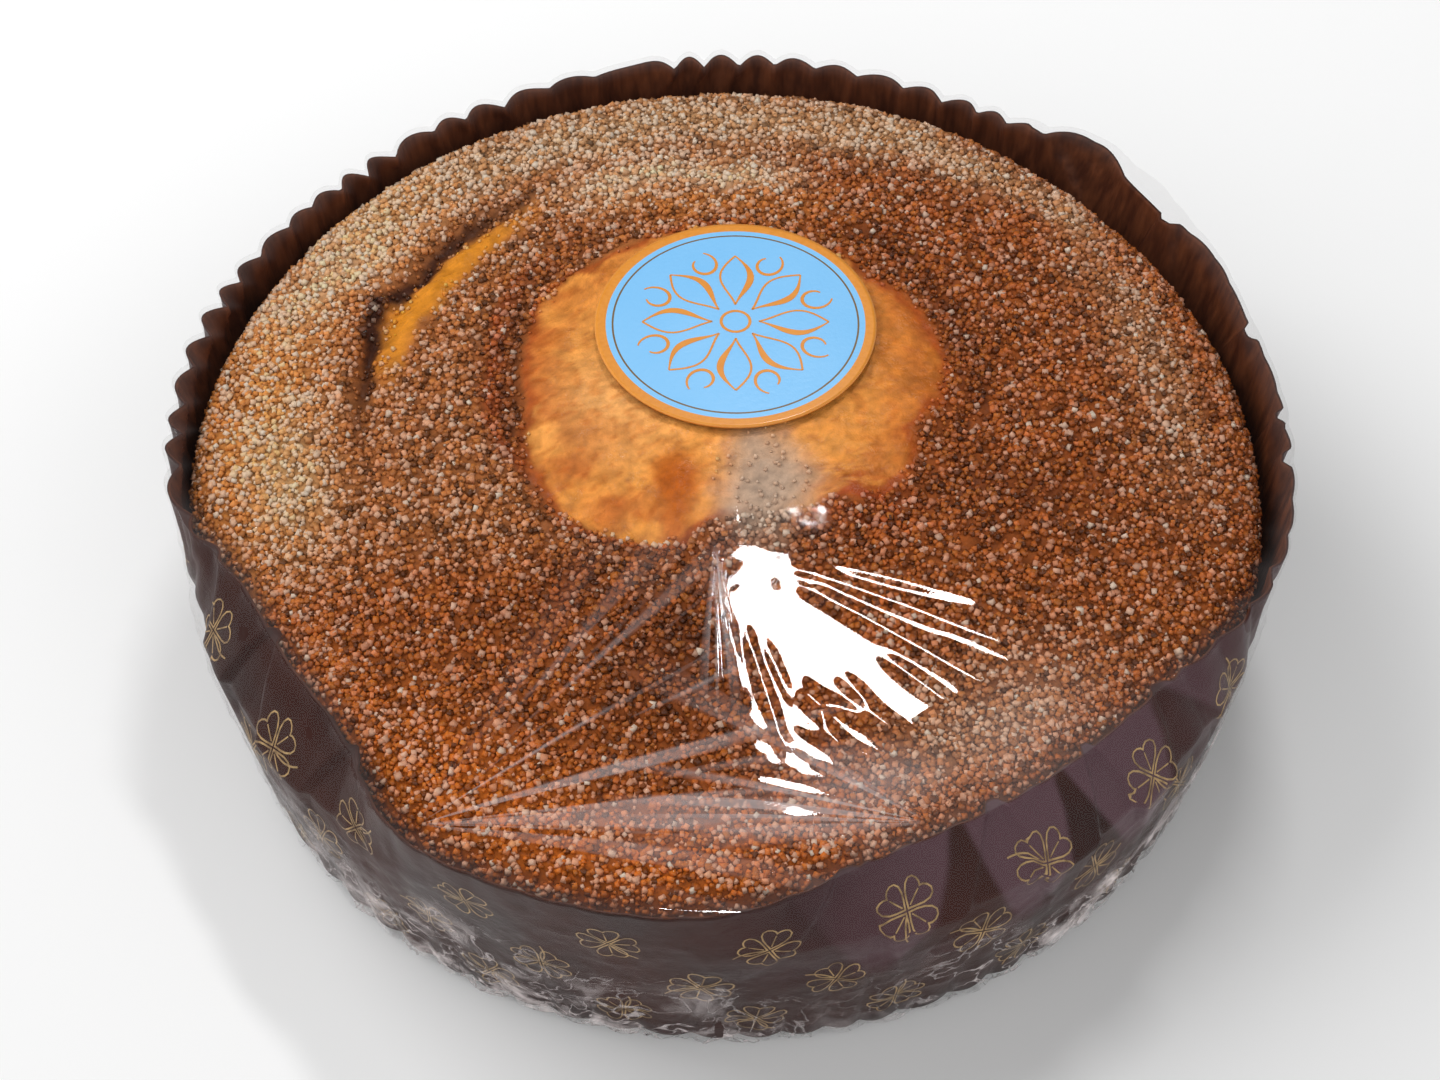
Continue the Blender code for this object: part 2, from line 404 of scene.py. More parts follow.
# Patches, painted after them: tone, strength, middle, half-sizes and turn in degrees
PATCHES = (
    ("ash", 0.8, (-74, 43), (7, 17), -28),
    ("pale", 0.95, (-78, -6), (7, 16), 4),
    ("pale", 0.6, (-67, 60), (5, 12), -48),
    ("beige", 0.6, (64, 58), (5, 8), 40),
    ("beige", 0.2, (75, 26), (6, 13), 15),
    ("dusk", 0.6, (50, -12), (12, 5), 0),
    ("maroon", 0.55, (-8, -46), (13, 14), 0),
    ("dusk", 0.5, (-28, -34), (14, 6), 30),
    ("dusk", 0.2, (-58, -58), (12, 8), -50),
    ("beige", 0.45, (44, -62), (19, 12), 35),
    ("sand", 0.4, (-3, 58), (22, 4), 0),
)
ISLAND_LOBES = ((-2, 15, 35.5), (15, 17, 23.5), (-14, -2, 21.5), (20, -2, 13))
ISLAND_NOTCH = (6, -36, 17)
CRACK_BAND = (-10, 12, 56.2, 1.7)
GOLD_BAND = (-10, 12, 51.2, 3.3)
GOLD_AT = (149, 26)
SYRUP_SPOT = ((-8, -11.5), (4.2, 8.5), 8)
GREY_SPOT = ((6.2, -12.5), (7.6, 13), 0)
RED_SPOT = ((22, -15), (11, 6), -20)
CREAM_SPOT = ((-22, 6), (12, 14), 15)
# Layers of noise that push the painted places to the right and back
WARP_RIGHT = ((2.2, 11, 1), (0.9, 3.5, 2), (0.4, 1.4, 5))
WARP_BACK = ((2.2, 11, 3), (0.9, 3.5, 4), (0.4, 1.4, 6))
CRACK_BARE = 0.7
GREY_GRAINS = 0.2


def from_circle(x, y, circle):
    """Signed distance outwards from a circle's line, and the angle round its centre."""
    across, up = x - circle[0], y - circle[1]
    return np.hypot(across, up) - circle[2], np.arctan2(up, across)


def spot(x, y, middle, half_sizes, turn, power=2):
    """exp(-(distance in turned half-sizes) ^ power), an elliptical patch."""
    cosine, sine = math.cos(math.radians(turn)), math.sin(math.radians(turn))
    across, up = x - middle[0], y - middle[1]
    along = (across * cosine + up * sine) / half_sizes[0]
    over = (up * cosine - across * sine) / half_sizes[1]
    return np.exp(-np.hypot(along, over) ** power)


def island_share(x, y):
    """1 inside any of the overlapping lobes, less a notch at the front, with edges 3 mm soft."""
    inside = [1 - rise(from_circle(x, y, lobe)[0], -1.2, 1.8) for lobe in ISLAND_LOBES]
    return np.maximum.reduce(inside) * rise(from_circle(x, y, ISLAND_NOTCH)[0], -1, 2)


def band_share(x, y, band, arc):
    """1 on a flat-topped band along part of a circle."""
    distance, angle = from_circle(x, y, band[:3])
    return np.exp(-((distance / band[3]) ** 4)) * swell(angle, *arc, FLAT_TOPPED)


def bare_share(x, y):
    """1 where the crust is smooth: on the island but for its grey patch, and along the split."""
    crack = CRACK_BARE * band_share(x, y, CRACK_BAND, CRACK_MIDDLE)
    split = np.maximum(band_share(x, y, GOLD_BAND, GOLD_AT), crack)
    return np.maximum(island_share(x, y) * (1 - GREY_GRAINS * spot(x, y, *GREY_SPOT, FLAT_TOPPED)), split)


def warped(x, y):
    """The same places pushed about by slow noise, so that no painted edge is a clean curve."""
    return x + layered(x, y, WARP_RIGHT), y + layered(x, y, WARP_BACK)


def crust_tone(x, y):
    """Colour of the baked, sugared top: brown ground, then bands, patches, the island and the crack."""
    x, y = warped(x, y)
    tone = np.zeros(x.shape + (3,))

    def cover(name, share):
        nonlocal tone
        share = np.clip(share, 0, 1)[..., None]
        tone = tone * (1 - share) + paint(*TONES[name]) * share

    cover("left brown", np.ones(x.shape))
    cover("right brown", rise(x, -20, 30))
    cover("front brown", rise(-y, 15, 40))
    for name, strength, circle, width, arc in BANDS:
        distance, angle = from_circle(x, y, circle)
        cover(name, strength * np.exp(-((distance / width) ** 2)) * swell(angle, *arc, FLAT_TOPPED))
    for name, strength, middle, half_sizes, turn in PATCHES:
        cover(name, strength * spot(x, y, middle, half_sizes, turn))
    tone = tone * UNDER_FILM
    island = island_share(x, y)
    edge = island * (1 - island) * 4
    rim = island * np.exp(-((from_circle(x, y, ISLAND)[0] / 7) ** 2))
    cover("peach", island)
    cover("cream", island * spot(x, y, *CREAM_SPOT) * 0.6)
    cover("orange", island * rise(x, 14, 36) * 0.8)
    cover("orange", island * rise(mottle(x, y, 6, 9), 0.1, 0.9) * 0.35)
    strokes = rise(mottle(x * 0.6 + y * 0.5, y - x * 0.8, 1.3, 14), 0.1, 0.7)
    cover("orange", island * strokes * 0.45)
    cover("red", rim * rise(mottle(x, y, 4, 10), -0.8, 0.5) * 0.65)
    cover("red", edge * 0.75)
    cover("red", 0.8 * spot(x, y, *RED_SPOT) * rise(mottle(x + y, y * 3, 2.2, 12), -0.5, 0.5))
    cover("syrup", 0.9 * spot(x, y, *SYRUP_SPOT, FLAT_TOPPED))
    cover("grey", 0.95 * spot(x, y, *GREY_SPOT, FLAT_TOPPED))
    cover("gold", 0.95 * band_share(x, y, GOLD_BAND, GOLD_AT))
    cover("maroon", 0.95 * band_share(x, y, CRACK_BAND, CRACK_MIDDLE))
    return tone


# Crust

CRUST_GRID = 271
SIDE_HEIGHTS = (FOLD_HEIGHT, 28, 18, 8)
UNDER_RADII = (80, 50, 20)
CRUST_GLUE = 0.8
# The film greys what lies under it, so the ground's red and green are painted that much stronger, and
# its blue weaker
UNDER_FILM = (1.68, 1.38, 0.74)
# How far the crust is tucked in where facets stand in the rim, over which reach that sets in, and above
# which height the side has it too
CRUST_TUCK = 1.8
TUCK_REACH = (SHOULDER_RADIUS - SHOULDER_ARC, SHOULDER_RADIUS + 2)
TUCK_ABOVE = 30
LUMPS = ((0.5, 3.8, 21), (0.28, 1.9, 22), (0.16, 1.1, 23))
LUMPS_ON_ISLAND = 0.3
SPECKLES = ((0.22, 0.9, 31), (0.15, 2.3, 32))


def cake_side_radius(z):
    """The case's evenly widening wall, less its flutes, the paper and a gap."""
    wall = BASE_RADIUS + (RIM_RADIUS - BASE_RADIUS) * z / RIM_HEIGHT
    return wall - 2 * WALL_FLUTE - PAPER - SIDE_GAP


def crust_relief(x, y):
    """Raised island, sunk ring, crack and sugar lumps, in height above the smooth dome."""
    from_island, island_angle = from_circle(x, y, ISLAND)
    from_crack, crack_angle = from_circle(x, y, CRACK)
    island = ISLAND_RISE * (1 - rise(from_island, -ISLAND_SLOPE, 0))
    ring = RING_DEPTH * np.exp(-((from_island / RING_WIDTH - 1) ** 2))
    crack = CRACK_DEPTH * np.exp(-((from_crack / CRACK_WIDTH) ** 2))
    lumpy = LUMPS_ON_ISLAND + (1 - LUMPS_ON_ISLAND) * rise(from_island, *SUGAR_FADE)
    return (
        island
        - ring * swell(island_angle, *RING_MIDDLE, FLAT_TOPPED)
        - crack * swell(crack_angle, *CRACK_MIDDLE, FLAT_TOPPED)
        + layered(x, y, LUMPS) * lumpy
    )


def crust_point(theta, reach):
    """The crust at an angle and a distance over its surface: the dome, then a quarter turn of shoulder."""
    across = cake_side_radius(SHOULDER_START) - SHOULDER_RADIUS
    down = dome_height(SHOULDER_RADIUS) - SHOULDER_START
    turn = np.clip((reach - SHOULDER_RADIUS) / SHOULDER_ARC, 0, 1) * math.pi / 2
    radius = np.minimum(reach, SHOULDER_RADIUS) + across * np.sin(turn)
    z = np.where(reach < SHOULDER_RADIUS, dome_height(reach), SHOULDER_START + down * np.cos(turn))
    radius = radius - lean(theta, z) * (radius / DOME_REACH) ** SIDE_LEAN_POWER
    radius = radius - CRUST_TUCK * creased(theta) * rise(reach, *TUCK_REACH)
    x, y = radius * np.cos(theta), radius * np.sin(theta)
    fade = 1 - rise(reach, SHOULDER_RADIUS, SHOULDER_RADIUS + SHOULDER_ARC)
    return np.stack([x, y, z + crust_relief(x, y) * fade], -1)


def make_crust(finish):
    """Domed top on a disc grid, a rounded shoulder and a plain side and base that fill the case."""
    theta, r, numbers = disc_grid(CRUST_GRID)
    top = crust_point(theta, r * SHOULDER_RADIUS)
    edge = border(numbers)
    theta = theta.ravel()[edge]
    rows = [crust_point(theta, SHOULDER_RADIUS + step) for step in range(1, SHOULDER_ARC + 1)]
    for z in SIDE_HEIGHTS:
        tuck = CRUST_TUCK * creased(theta) * (z > TUCK_ABOVE)
        rows.append(polar_points(theta, cake_side_radius(z) - tuck, z))
    rows.append(polar_points(theta, cake_side_radius(CAKE_FLOOR), CAKE_FLOOR))
    rows += [polar_points(theta, radius, CAKE_FLOOR) for radius in UNDER_RADII]
    below = top.size // 3 + np.arange(len(rows) * len(edge)).reshape(len(rows), -1)
    points = np.concatenate([top.reshape(-1, 3), np.concatenate(rows), [(0, 0, CAKE_FLOOR)]])
    hub = np.full(len(edge), len(points) - 1)
    quads = np.concatenate([grid_quads(numbers), ring_quads(np.vstack([edge, below]))])
    triangles = np.stack([below[-1], hub, np.roll(below[-1], -1)], -1)
    x, y = points[:, 0], points[:, 1]
    glue = CRUST_GLUE + (1 - CRUST_GLUE) * island_share(x, y)
    tone = crust_tone(x, y) * (glue * (1 + layered(x, y, SPECKLES)))[:, None]
    piece = make_piece("crust", points, quads, triangles, fields={"tone": tone, "bare": bare_share(x, y)})
    belongs(piece, finish, "cake_crust", "cake")


def crust_finish():
    """Baked, sugary crust: painted tone, fine crumb in colour and bump, smoother where it is bare."""
    made = Finish("sugared crust", roughness=0.5, specular_ior_level=0.15)
    bare = made.field("bare")
    fine = made.noise(1400, 3, 0.6)
    crumbs = made.spread(fine, 0.3, 0.7, 0.5, 1.5)
    tone = made.mix(made.spread(bare, 0.0, 1.0, 0.35, 0.14), made.field("tone", "Color"), crumbs, "MULTIPLY")
    made.set("Base Color", tone)
    cloudy = made.spread(made.noise(300, 2), 0.35, 0.65, 0.35, 0.7)
    made.set("Roughness", made.plus(cloudy, made.times(bare, -0.15)))
    made.set("Normal", made.bump(made.plus(fine, made.noise(700, 3, 0.6)), 0.00015, 0.8))
    return made.material


# Sugar grains

SITE_STEP = 0.86
GRAIN_REACH = SHOULDER_RADIUS + 8
MOST_GRAINS = 16600
GRAIN_SIZE = 0.84
GRAIN_SIZES = (0.6, 1.3)
GRAIN_STRETCH = (0.7, 1.15)
GRAIN_LIFT = 0.25
# Kind, its own colour, how much of that shows, and how bright the crust's tone is in it, least and most
GRAIN_KINDS = (
    ("sugar_clear", paint(240, 222, 200), 0.1, (1.2, 2.1)),
    ("sugar_amber", paint(226, 140, 52), 0.08, (0.8, 1.6)),
    ("sugar_dark", paint(60, 24, 6), 0.0, (0.3, 0.7)),
)
# Shares of the sites: grainy in all, clear on dark crust and how much more on pale crust, amber, and dark
GRAINY_SHARE = 0.94
CLEAR_SHARE = (0.2, 0.32)
AMBER_SHARE = 0.42
DARK_SHARE = 0.22
CLUMPS = ((0.12, 3.2, 41),)
PALE_CRUST = (0.08, 0.36)
# How much whiter a clear grain is on pale crust, and by a chance that seldom comes near its most, which
# paints a few grains near white as painted glints
WHITER_ON_PALE = 0.45
PAINTED_SPARKLE = (0.6, 9)
COLOUR_SPREAD = 0.12
BRIGHTEST = 0.95
SOFTER_WHERE_BARE = 0.8
BRIGHTER_WHERE_BARE = 0.25
SMALLER_WHERE_BARE = 0.4


def grain_sites():
    """Places for grains: a square lattice over the plan, each shifted at random by up to half a step."""
    draw = np.random.default_rng(40)
    line = np.arange(-GRAIN_REACH, GRAIN_REACH, SITE_STEP)
    x, y = [side.ravel() for side in np.meshgrid(line, line)]
    x = x + draw.uniform(-0.5, 0.5, x.shape) * SITE_STEP
    y = y + draw.uniform(-0.5, 0.5, y.shape) * SITE_STEP
    inside = np.hypot(x, y) < GRAIN_REACH
    return x[inside], y[inside], draw


def turns(draw, count):
    """Random rotation matrices from random unit quaternions."""
    drawn = draw.normal(size=(4, count))
    w, i, j, k = drawn / np.linalg.norm(drawn, axis=0)
    rows = [
        (1 - 2 * (j * j + k * k), 2 * (i * j - k * w), 2 * (i * k + j * w)),
        (2 * (i * j + k * w), 1 - 2 * (i * i + k * k), 2 * (j * k - i * w)),
        (2 * (i * k - j * w), 2 * (j * k + i * w), 1 - 2 * (i * i + j * j)),
    ]
    return np.moveaxis(np.array(rows), -1, 0)


def make_grains(name, x, y, tone, sizes, draw, finish):
    """Small bricks, each stretched and turned at random, a little sunk in the crust."""
    kept = slice(0, MOST_GRAINS)
    x, y, tone, sizes = x[kept], y[kept], tone[kept], sizes[kept]
    middles = crust_point(np.arctan2(y, x), np.hypot(x, y))
    middles[:, 2] += GRAIN_LIFT * sizes
    corners = np.array([(a, b, c) for c in (-1, 1) for b in (-1, 1) for a in (-1, 1)]) / 2
    shapes = corners * (sizes[:, None] * draw.uniform(*GRAIN_STRETCH, (len(x), 3)))[:, None, :]
    points = middles[:, None, :] + np.einsum("nij,nkj->nki", turns(draw, len(x)), shapes)
    brick = np.array([(0, 2, 3, 1), (4, 5, 7, 6), (0, 1, 5, 4), (2, 6, 7, 3), (0, 4, 6, 2), (1, 3, 7, 5)])
    quads = brick + 8 * np.arange(len(x))[:, None, None]
    piece = make_piece(name, points, quads, smooth=False, fields={"tone": np.repeat(tone, 8, 0)})
    belongs(piece, finish, "cake_crust")


def make_sugar():
    """Clear, amber and dark grains, shared out by how pale the crust is at each place."""
    x, y, draw = grain_sites()
    tone = crust_tone(x, y)
    paleness = rise(tone.mean(-1), *PALE_CRUST)
    bare = bare_share(x, y)
    order = draw.permutation(len(x))
    chance = draw.uniform(0, 1, len(x))
    clear_limit = CLEAR_SHARE[0] + CLEAR_SHARE[1] * paleness + layered(x, y, CLUMPS)
    amber_limit = clear_limit + AMBER_SHARE
    dark_limit = amber_limit + DARK_SHARE * (1 - paleness) * (1 - bare)
    grainy = draw.uniform(0, 1, len(x)) < GRAINY_SHARE * (1 - bare)
    limits = (0, clear_limit, amber_limit, dark_limit)
    for (name, colour, shows, brightness), low, high in zip(GRAIN_KINDS, limits, limits[1:]):
        picked = order[((chance >= low) & (chance < high) & grainy)[order]]
        column = (len(picked), 1)
        smooth = bare[picked, None]
        soft = 1 - SOFTER_WHERE_BARE * smooth
        most, power = PAINTED_SPARKLE
        # A few clear grains come out near white by chance: painted glints of sparkle
        whiter = WHITER_ON_PALE * paleness[picked, None] + most * draw.uniform(0, 1, column) ** power
        share = draw.normal(shows, COLOUR_SPREAD, column) + whiter * (name == "sugar_clear")
        share = np.clip(share, 0, BRIGHTEST) * soft
        own = tone[picked] * draw.uniform(*brightness, column) ** soft * (1 + BRIGHTER_WHERE_BARE * smooth)
        own = np.clip(own * (1 - share) + colour * share, 0, BRIGHTEST)
        sizes = draw.uniform(*GRAIN_SIZES, len(picked)) * GRAIN_SIZE * (1 - SMALLER_WHERE_BARE * bare[picked])
        make_grains(name, x[picked], y[picked], own, sizes, draw, grain_finish(name))


def grain_finish(name):
    """Glassy sugar: the grain's own tone under bright facets."""
    made = Finish(name.replace("_", " "), roughness=0.18, specular_ior_level=0.45)
    made.set("Base Color", made.mix(0.2, made.field("tone", "Color"), made.noise(2500), "MULTIPLY"))
    made.dull(made.noise(900, 1), 0.08, 0.4)
    return made.material


# Paper case

LOBE_STEPS = 14
FACET_FOOT = 23
WALL_FOOT = PAPER_FLOOR + PAPER_CORNER[1]
WALL_HEIGHTS = (*np.arange(RIM_HEIGHT, FACET_FOOT, -0.8), *np.linspace(FACET_FOOT - 1, WALL_FOOT, 5))
FLOOR_RADII = (15, 40, 65, 80, BASE_RADIUS - PAPER_CORNER[0])
UNEVEN_FLUTES = 0.7
PLEAT_DRIFT = 1.6
# Where pleats slant: middle and half-width in degrees, and by how many half pleats
PLEAT_SLANT = ((178, 24, 1.6), (120, 18, -1.0), (95, 12, 1.3))
SLANT_FOOT = FREE_PAPER_HEIGHT - 4
FACET_RECESS = 1.5
FACET_UNEVEN = 0.16
FACET_SLANT = 0.25
FACET_SPREAD = 0.8
WEDGE_EDGE = (0.02, 0.14)
WEDGE_FOOT = 0.25
CREASE_FLATTENS = 0.85
SMOOTH_FRONT = (258, 34)
# Painted sheen: the flat facets at the right front are painted pale lavender in place of reflected light.
# Middle and half-width in degrees, then the heights over which it sets in
PAINTED_SHEEN_STRETCH = (312, 42)
PAINTED_SHEEN_RISE = (FACET_FOOT, FACET_FOOT + 8)


def flute_depth(theta, z):
    """Half the depth of a pleat: shallow on the wall, deeper on the free rim, flat where it is creased."""
    free = rise(z, FREE_PAPER_HEIGHT, RIM_HEIGHT)
    uneven = 1 + UNEVEN_FLUTES * round_mottle(theta, 9, 51)
    smoothed = np.maximum(creased(theta), swell(theta, *SMOOTH_FRONT, FLAT_TOPPED))
    flattened = 1 - CREASE_FLATTENS * smoothed * rise(z, 0, FACET_FOOT)
    return (WALL_FLUTE + (RIM_FLUTE * uneven - WALL_FLUTE) * free) * flattened


def pleat(theta, z):
    """How far a pleat lies inside the outermost line: rounded lobes with sharp valleys, 2 depth (1 - |cos|),
    which drift and slant along the rim."""
    drift = PLEAT_DRIFT * round_mottle(theta, 7, 52)
    slant = sum(reach * swell(theta, middle, width) for middle, width, reach in PLEAT_SLANT)
    phase = (FLUTES * theta + drift + slant * rise(z, SLANT_FOOT, RIM_HEIGHT) * math.pi) / 2
    return 2 * flute_depth(theta, z) * (1 - np.abs(np.cos(phase)))


def facet_wedge(theta, z):
    """0 on the flat triangles that point down from the rim, 1 deep in the wedges between them."""
    share = np.clip((z - FACET_FOOT) / (RIM_HEIGHT - FACET_FOOT), 0, 1)
    uneven = FACET_UNEVEN * round_mottle(theta, 14, 53) + FACET_SLANT * share * round_mottle(theta, 23, 54)
    across = 2 * np.abs((theta * FACETS_ROUND / TURN + uneven) % 1 - 0.5)
    return rise(across - share * FACET_SPREAD, *WEDGE_EDGE) * rise(share, 0, WEDGE_FOOT) * creased(theta)


def case_face(theta, z, inwards=0.0):
    """Points on the paper's outer face, or that far inside it."""
    radius = case_radius(theta, z) - pleat(theta, z)
    radius = radius - FACET_RECESS * facet_wedge(theta, z)
    height = z - RIM_DROP * pressed(theta) * rise(z, FREE_PAPER_HEIGHT, RIM_HEIGHT)
    return polar_points(theta, radius - inwards, height)


def make_case(finish):
    """The pleated wall as a closed shell: inner floor, inner face, rim, outer face and underside."""
    theta = np.arange(FLUTES * LOBE_STEPS) * TURN / (FLUTES * LOBE_STEPS)
    inside = [polar_points(theta, radius, PAPER_FLOOR + PAPER) for radius in FLOOR_RADII]
    inside += [case_face(theta, np.full(theta.shape, z), PAPER) for z in WALL_HEIGHTS[::-1]]
    outside = [case_face(theta, np.full(theta.shape, z)) for z in WALL_HEIGHTS]
    outside += [polar_points(theta, radius, PAPER_FLOOR) for radius in FLOOR_RADII[::-1]]
    points, quads, triangles = shell((0, 0, PAPER_FLOOR + PAPER), inside + outside, (0, 0, PAPER_FLOOR))
    inner = np.zeros(len(points))
    inner[: 1 + len(inside) * len(theta)] = 1
    around, height = np.arctan2(points[:, 1], points[:, 0]), points[:, 2] + RIM_DROP
    # Painted sheen: share of pale lavender on the outer face's flat facets, standing in for their reflection
    flat = creased(around) * rise(height, *PAINTED_SHEEN_RISE) * (1 - facet_wedge(around, height))
    flat = flat * (1 - inner) * swell(around, *PAINTED_SHEEN_STRETCH, FLAT_TOPPED)
    piece = make_piece("pleated_case", points, quads, triangles, fields={"inner": inner, "flat": flat})
    belongs(piece, finish, "case_paper", "paper_case")


def case_finish():
    """Dark waxed paper, a little redder and lighter inside, with fibres and worn, cloudy sheen. The flat
    facets at the right front carry a painted sheen of pale lavender; the inner face carries painted
    highlights and painted shade.
    """
    made = Finish("waxed brown paper", roughness=0.38, specular_ior_level=0.14)
    inner = made.field("inner")
    cloud = made.spread(made.noise(45, 3), 0.35, 0.65)
    fibres = made.spread(made.noise(900, 3, 0.7), 0.3, 0.7, 0.6, 1.4)
    outside = made.mix(cloud, paint(42, 15, 9), paint(58, 25, 17))
    # Painted sheen: pale lavender on the flat facets at the right front
    outside = made.mix(made.field("flat"), outside, paint(90, 63, 70))
    drawn_out = made.vector("MULTIPLY", made.place(), (1, 1, 0.12))
    creases = made.noise(420, 2, 0.6, drawn_out)
    # The lighter streaks along the creases are partly the paper's colour, partly painted highlights on its
    # ridges
    inside = made.mix(made.spread(creases, 0.35, 0.7), paint(70, 35, 21), paint(108, 60, 36))
    # Near-black patches at random on the inner face: painted shade
    inside = made.mix(made.spread(made.noise(28, 2), 0.6, 0.66, 0.0, 0.7), inside, paint(24, 15, 12))
    made.set("Base Color", made.mix(0.12, made.mix(inner, outside, inside), fibres, "MULTIPLY"))
    made.dull(cloud, 0.3, 0.5, 0.0, 1.0)
    dents = made.bump(made.noise(180, 3, 0.6), 0.0006, 0.5)
    made.set("Normal", made.bump(made.times(creases, inner), 0.0008, 0.6, dents))
    return made.material


# Printed clovers: thin gold lines that follow the paper

CLOVER_ROWS = (10.5, 25, 39.5)
CLOVERS_A_ROW = 25
CLOVER_SIZE = 6.3
CLOVER_LINE = 0.3
PRINT_LIFT = 0.1
# How far a clover may stray along the wall in radians and up, its sizes, and where its height ends
CLOVER_STRAYS = (0.02, 1.2)
CLOVER_SIZES = (0.9, 1.05)
CLOVER_HEIGHTS = (3, RIM_HEIGHT - 0.3)


def strip(path, width, closed=False):
    """Two edges of a flat line along a path: each point moved half the width to both sides."""
    path = np.asarray(path, float)
    if closed:
        along = np.roll(path, -1, 0) - np.roll(path, 1, 0)
    else:
        along = np.gradient(path, axis=0)
    along /= np.linalg.norm(along, axis=1)[:, None] + 1e-9
    side = np.stack([-along[:, 1], along[:, 0]], 1) * np.broadcast_to(width, len(path))[:, None] / 2
    rails = np.stack([path + side, path - side], 1)
    numbers = np.arange(len(path) * 2).reshape(-1, 2)
    if closed:
        numbers = np.vstack([numbers, numbers[:1]])
    quads = np.stack([numbers[:-1, 1], numbers[1:, 1], numbers[1:, 0], numbers[:-1, 0]], -1)
    return rails.reshape(-1, 2), quads


def gather(strips):
    """One set of points and quads from several strips."""
    points, quads, used = [], [], 0
    for places, faces in strips:
        points.append(places)
        quads.append(faces + used)
        used += len(places)
    return np.concatenate(points), np.concatenate(quads)


def rotated(path, degrees):
    """A flat path turned anticlockwise about the origin."""
    turn = math.radians(degrees)
    matrix = np.array([(math.cos(turn), math.sin(turn)), (-math.sin(turn), math.cos(turn))])
    return np.asarray(path) @ matrix


def clover_lines():
    """A four-leaved clover one unit in size: heart outlines with their points together, and a stem."""
    t = np.linspace(0, TURN, 22, endpoint=False)
    heart_height = 0.5 + (13 * np.cos(t) - 5 * np.cos(2 * t) - 2 * np.cos(3 * t)) / 36
    heart = np.stack([0.42 * np.sin(t) ** 3, heart_height], 1)
    vein = np.array([(0, 0.16), (0, 0.4), (0, 0.6)])
    line = CLOVER_LINE / CLOVER_SIZE
    strips = []
    for leaf in (0, 90, 180, 270):
        strips += [strip(rotated(heart, leaf), line, True), strip(rotated(vein, leaf), line * 0.8)]
    s = np.linspace(0.1, 1, 7)
    strips.append(strip(rotated(np.stack([0.18 * np.sin(s * 2.5), s * 1.05], 1), 225), line))
    return gather(strips)


def make_clovers(finish):
    """Clovers on a staggered lattice round the wall, each turned and moved a little, laid on the paper."""
    draw = np.random.default_rng(60)
    places, quads = clover_lines()
    aside, up = CLOVER_STRAYS
    clovers = []
    for row, height in enumerate(CLOVER_ROWS):
        around = (np.arange(CLOVERS_A_ROW) + 0.5 * (row % 2)) * TURN / CLOVERS_A_ROW
        for angle in around + draw.uniform(-aside, aside, CLOVERS_A_ROW):
            size = CLOVER_SIZE * draw.uniform(*CLOVER_SIZES)
            drawn = rotated(places, draw.uniform(0, 360)) * size
            theta = angle + drawn[:, 0] / case_radius(angle, height)
            z = np.clip(height + drawn[:, 1] + draw.uniform(-up, up), *CLOVER_HEIGHTS)
            clovers.append((case_face(theta, z, -PRINT_LIFT), quads))
    belongs(make_piece("clover_print", *gather(clovers)), finish, "case_paper")


def print_finish():
    """Gold ink, thin and a little rubbed."""
    made = Finish("gold print", roughness=0.4, metallic=0.2)
    worn = made.spread(made.noise(500, 2), 0.35, 0.65)
    made.set("Base Color", made.mix(worn, paint(122, 94, 58), paint(184, 150, 98)))
    made.dull(made.noise(900), 0.3, 0.5)
    return made.material


# Film

FILM_GRID = 301
TOP_GLOSS = (0.045, 1.0)
FILM_SHADE = (0.9, 0.9, 0.9)
SIDE_GLOSS = (0.008, 0.25)
FILM_HUG = 0.8
FILM_MILK = (0.82, 0.73, 0.72)
# The top sheet lies smooth from this share of its radius out to the crease, which is a little milky
CREASE_SHARE = 0.95
CREASE_HAZE = 0.04
# The film on the wall: shares of its way down, where the bridge ends, where folds set in, the length of
# one degree of it, and its crumpled stretches as strength, middle and half-width in degrees
SIDE_SHARES = np.concatenate([np.linspace(0, 0.3, 14), np.linspace(0.3, 1, 40)[1:]])
BRIDGE_END = 0.12
FOLDS_SET_IN = (0.02, 0.2)
WALL_A_DEGREE = 1.7
CRUMPLED = ((2.55, 318, 28), (2.04, 248, 30))
CRUMPLE_START = (0.4, 0.9)
CRUMPLE_BELOW = 0.3
# Where the film is gathered: place, middle and half-width of the fan in degrees, reach, milkiness, and how
# many streaks there are to a radian
FANS = {
    "left_fan": ((-50, -81), (22, 33), 88, 0.36, 11),
    "right_fan": ((32, -80), (168, 22), 60, 0.36, 12),
    "middle_fan": ((-2.5, -25.5), (-87, 7), 38, 0.5, 26),
}
# Ridges that run out from the middle gather: bearing in degrees, start, end, half-width and height
RIDGES = (
    (-15, 18, 50, 1.2, 0.20),
    (-23, 12, 64, 1.6, 0.26),
    (-33, 14, 68, 1.7, 0.28),
    (-40.5, 34, 62, 1.2, 0.22),
    (-53, 32, 60, 1.4, 0.22),
    (-64, 30, 62, 1.3, 0.22),
    (-69, 20, 40, 0.8, 0.12),
    (-75, 17, 50, 0.9, 0.16),
    (-82, 14, 34, 0.9, 0.16),
)
# Ridges beside them: where each starts, its bearing, start, end, half-width and height
FINGERS = (
    ((8.5, -56), -21, 0, 30, 1.5, 0.24),
    ((9, -62), -27, 0, 26, 1.4, 0.22),
)
# How far a ridge takes to rise and to fall, and where a fan of streaks starts and fades
RIDGE_RISE = 8
RIDGE_FALL = 14
FAN_RISE = 3
FAN_FADE = 0.35
